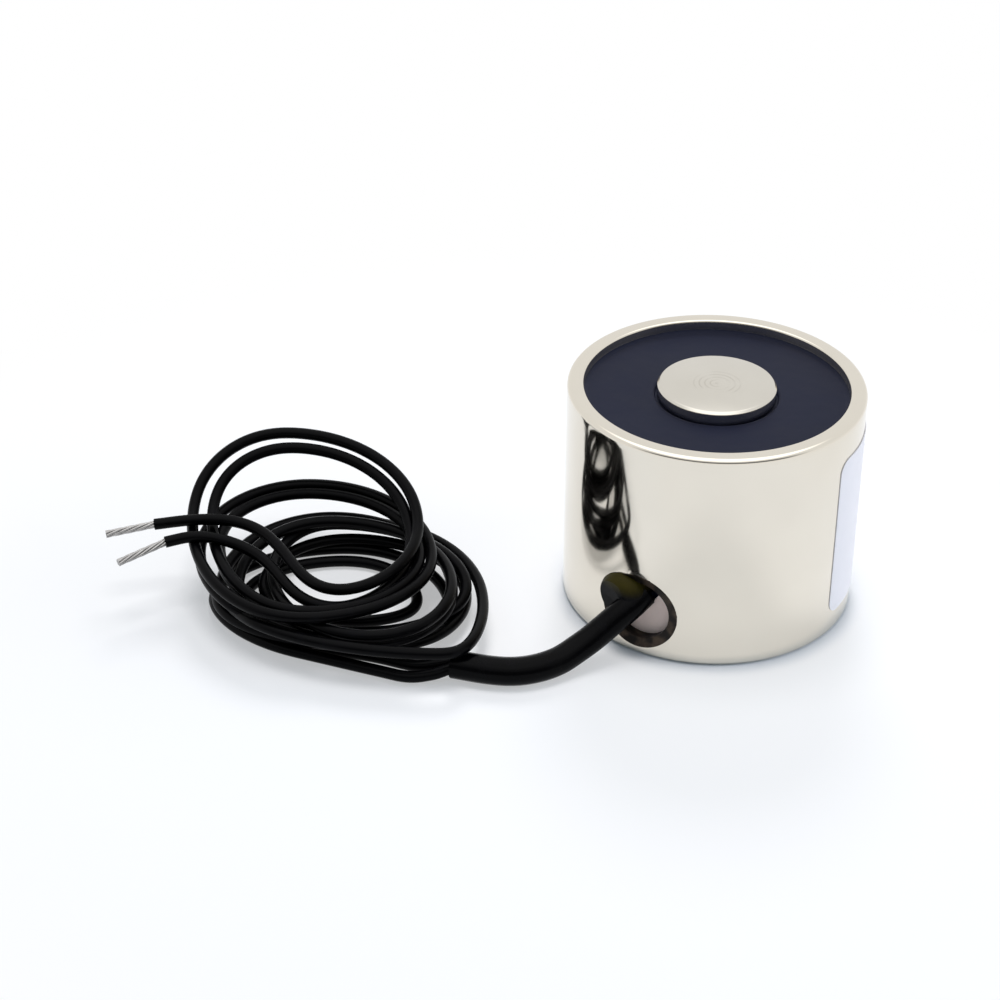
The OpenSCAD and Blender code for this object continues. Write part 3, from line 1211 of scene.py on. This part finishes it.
@dataclass(frozen=True)
class BlankSticker:
    """A blank paper sticker round part of the side."""

    sizes: PotSizes
    start: float = 83.0
    width: float = 22.0
    low: float = 2.0
    high: float = 17.0
    corner: float = 1.2
    corner_steps: int = 8
    thickness: float = 0.07
    cuts: int = 60

    def build(self) -> Piece:
        """Cut the flat sheet, then bend it round the pot."""
        radius = self.sizes.radius + HAIR
        turn = self.width / radius
        sheet = Bench.add("blank_sticker", bpy.ops.mesh.primitive_plane_add, size=1)
        Bench.edit(sheet)
        bpy.ops.transform.resize(value=(self.width * MM, (self.high - self.low) * MM, 1))
        bpy.ops.mesh.bevel(offset=self.corner * MM, segments=self.corner_steps, affect="VERTICES")
        bpy.ops.transform.rotate(value=math.tau / 4, orient_axis="X", center_override=(0, 0, 0))
        for i in range(1, self.cuts):
            bpy.ops.mesh.select_all(action="SELECT")
            across = (i / self.cuts - 0.5) * self.width * MM
            bpy.ops.mesh.bisect(plane_co=(across, 0, 0), plane_no=(1, 0, 0))
        Bench.done()
        Bench.modify(sheet, "SOLIDIFY", thickness=self.thickness * MM, offset=0)
        Bench.modify(sheet, "SIMPLE_DEFORM", deform_method="BEND", deform_axis="Z", angle=turn)
        middle = math.radians(self.start) + turn / 2
        out, up = radius + self.thickness / 2, (self.low + self.high) / 2
        outward = Matrix.Translation((0, -out * MM, up * MM))
        Bench.set_down(sheet, Matrix.Rotation(middle, 4, "Z") @ outward)
        Bench.mend(sheet)
        Bench.smooth(sheet, 40)
        return sheet

    def dress(self, sheet: Piece) -> None:
        """Finish the paper and tie it to the pot."""
        PAPER.dress(sheet)
        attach(sheet, "root")
        log.info("built %s", sheet.name)


@dataclass(frozen=True)
class InnerPieces:
    """The CAD nodes that are shown as they are."""

    finishes: ClassVar[dict[str, Finish]] = {
        "lead_washer": FIBRE,
        "bobbin": NYLON,
        "coil_winding": COPPER,
        "winding_tape": FILM,
        "inner_lead_a": WIRE_SKIN,
        "inner_lead_b": WIRE_SKIN,
        "splice_a": TIN,
        "splice_b": TIN,
        "splice_sleeve_a": SLEEVE_SKIN,
        "splice_sleeve_b": SLEEVE_SKIN,
    }

    def dress(self) -> None:
        """Put a finish on each of them."""
        for node, finish in self.finishes.items():
            finish.dress(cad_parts[node])
            log.info("dressed %s", node)


@dataclass(frozen=True)
class Lamp:
    """One soft lamp, placed in the picture's axes and turned towards the magnet."""

    name: str
    place: Point
    size: float
    power: float
    colour: tuple[float, float, float]

    def build(self) -> None:
        """Hang the lamp."""
        data = bpy.data.lights.new(self.name, "AREA")
        data.shape = "DISK"
        data.size = self.size * MM
        data.energy = self.power
        data.color = self.colour
        lamp = bpy.data.objects.new(self.name, data)
        lamp.visible_glossy = False
        bpy.context.scene.collection.objects.link(lamp)
        place = Vector(laid(self.place)) * MM
        lamp.location = place
        lamp.rotation_euler = (-place).to_track_quat("-Z", "Y").to_euler()


@dataclass(frozen=True)
class Studio:
    """Camera, floor, lamps and surroundings."""

    eye: Point = (-18.052, -175.567, 118.93)
    pitch: float = 57.806
    roll: float = 0.279
    lens: float = 86.94
    sensor: float = 36.0
    nearest: float = 10.0
    floor_size: float = 4000.0
    floor_drop: float = 0.02
    floor_colour: Colour = (0.86, 0.9, 0.97, 1.0)
    lift: float = 0.55
    foot_edge: Flat = (14.2, 12.4)
    coil_lift: float = 0.42
    coil_middle: Point = (-31.0, -10.0, 0.0)
    coil_edge: Flat = (27.0, 15.0)
    fade_middle: Point = (-14.0, -10.0, 0.0)
    fade_edge: Flat = (42.0, 75.0)
    wall: float = 0.93
    ceiling: float = 0.75
    ceiling_edge: Flat = (0.7, 0.86)
    gloom: float = 0.72
    gloom_front: Flat = (0.3, 0.75)
    gloom_height: Flat = (0.62, 0.4)
    ambient: float = 0.34
    ambient_colour: Colour = (0.74, 0.88, 1.0, 1.0)
    lamps: tuple[Lamp, ...] = (
        Lamp("back_lamp", (20, 350, 330), 170, 1.1, (1.0, 0.94, 0.88)),
        Lamp("top_lamp", (-40, 60, 620), 300, 2.0, (1.0, 0.94, 0.88)),
        Lamp("side_lamp", (420, -20, 120), 240, 0.95, (0.95, 0.97, 1.0)),
    )

    def camera(self) -> None:
        """Set the camera where the photo was taken from."""
        data = bpy.data.cameras.new("photo_camera")
        data.lens = self.lens
        data.sensor_width = self.sensor
        data.clip_start = self.nearest * MM
        camera = bpy.data.objects.new("photo_camera", data)
        bpy.context.scene.collection.objects.link(camera)
        turn = Matrix.Rotation(LAY_TURN, 4, "Z") @ Matrix.Rotation(math.radians(self.pitch), 4, "X")
        roll = Matrix.Rotation(math.radians(self.roll), 4, "Z")
        camera.matrix_world = Matrix.Translation(Vector(laid(self.eye)) * MM) @ turn @ roll
        bpy.context.scene.camera = camera

    @staticmethod
    def seen(kit: NodeKit) -> Tap:
        """1 for rays from the camera, off a gloss or through a clear thing, otherwise 0."""
        camera = kit.node("ShaderNodeLightPath", output="Is Camera Ray")
        return camera + camera.part("Is Glossy Ray") + camera.part("Is Transmission Ray")

    @staticmethod
    def patch(kit: NodeKit, centre: Point, edge: Flat) -> Tap:
        """A round patch of the floor with a soft edge.

        Args:
            kit: The floor's tree.
            centre: The patch's middle, in the picture's axes.
            edge: How far from the middle the value is 0 and where it is 1.

        Returns:
            The value, from 0 to 1.
        """
        moved = {"Vector": kit.place(), "Location": -Vector(laid(centre)) * MM}
        return kit.fade(kit.length(kit.node("ShaderNodeMapping", {"vector_type": "POINT"}, moved)), edge)

    def floor(self) -> None:
        """Lay a white floor that keeps the shadows near the magnet and fades to plain white."""
        floor = Bench.add("floor", bpy.ops.mesh.primitive_plane_add, size=self.floor_size * MM)
        floor.location.z = -self.floor_drop * MM
        material = bpy.data.materials.new("white_floor")
        material.use_nodes = True
        kit = NodeKit(material.node_tree)
        coil = self.patch(kit, self.coil_middle, self.coil_edge)
        foot = self.patch(kit, (0, 0, 0), self.foot_edge)
        far = self.patch(kit, self.fade_middle, self.fade_edge)
        # Painted light: the floor glows white to the camera and in the metal; the glow is weaker round the
        # coil and gone round the pot's foot, so the shadows show darker there
        near = (coil * (self.coil_lift - self.lift) + self.lift) * (1 - foot)
        lift = near + far * (1 - near)
        paper = kit.node("ShaderNodeBsdfDiffuse", None, {"Color": self.floor_colour})
        glow = kit.node("ShaderNodeEmission", None, {"Color": WHITE, "Strength": 1.0})
        kit.close("ShaderNodeOutputMaterial", kit.mixed(self.seen(kit) * lift, paper, glow))
        floor.data.materials.append(material)

    def surroundings(self) -> None:
        """White to the eye; in the metal a room with a bright ceiling, dark low down at the camera."""
        world = bpy.data.worlds.new("white_room")
        world.use_nodes = True
        bpy.context.scene.world = world
        kit = NodeKit(world.node_tree)
        way = kit.node("ShaderNodeTexCoord", output="Generated")
        up = kit.node("ShaderNodeSeparateXYZ", None, {0: way}, "Z")
        ahead = {0: way, 1: laid((0, -1, 0))}
        front = kit.node("ShaderNodeVectorMath", {"operation": "DOT_PRODUCT"}, ahead, "Value")
        dark = kit.span(front, *self.gloom_front) * kit.span(up, *self.gloom_height)
        level = kit.span(up, *self.ceiling_edge) * self.ceiling + self.wall - dark * self.gloom
        lights = ((self.ambient_colour, self.ambient), (WHITE, level), (WHITE, 1.0))
        soft, room, white = (
            kit.node("ShaderNodeBackground", None, {"Color": colour, "Strength": strength})
            for colour, strength in lights
        )
        mirrored = kit.node("ShaderNodeLightPath", output="Is Glossy Ray")
        direct = mirrored.part("Is Camera Ray") + mirrored.part("Is Transmission Ray")
        lit = kit.mixed(mirrored, soft, room)
        kit.close("ShaderNodeOutputWorld", kit.mixed(direct, lit, white))

    def build(self) -> None:
        """Set up the picture."""
        self.camera()
        self.floor()
        self.surroundings()
        for lamp in self.lamps:
            lamp.build()
        bpy.context.scene.view_settings.view_transform = "Standard"


def main() -> None:
    """Build each sub-assembly in order, then the picture."""
    sizes = PotSizes.from_frame()
    LeadPair(sizes).build()
    shell = PotShell(sizes)
    shell.dress(shell.build())
    core = PoleCore(sizes)
    core.dress(core.build())
    resin = CastResin(sizes, shell)
    resin.dress(resin.build())
    sticker = BlankSticker(sizes)
    sticker.dress(sticker.build())
    InnerPieces().dress()
    Studio().build()


if __name__ == "__main__":
    logging.basicConfig(level=logging.INFO, format="%(message)s")
    main()
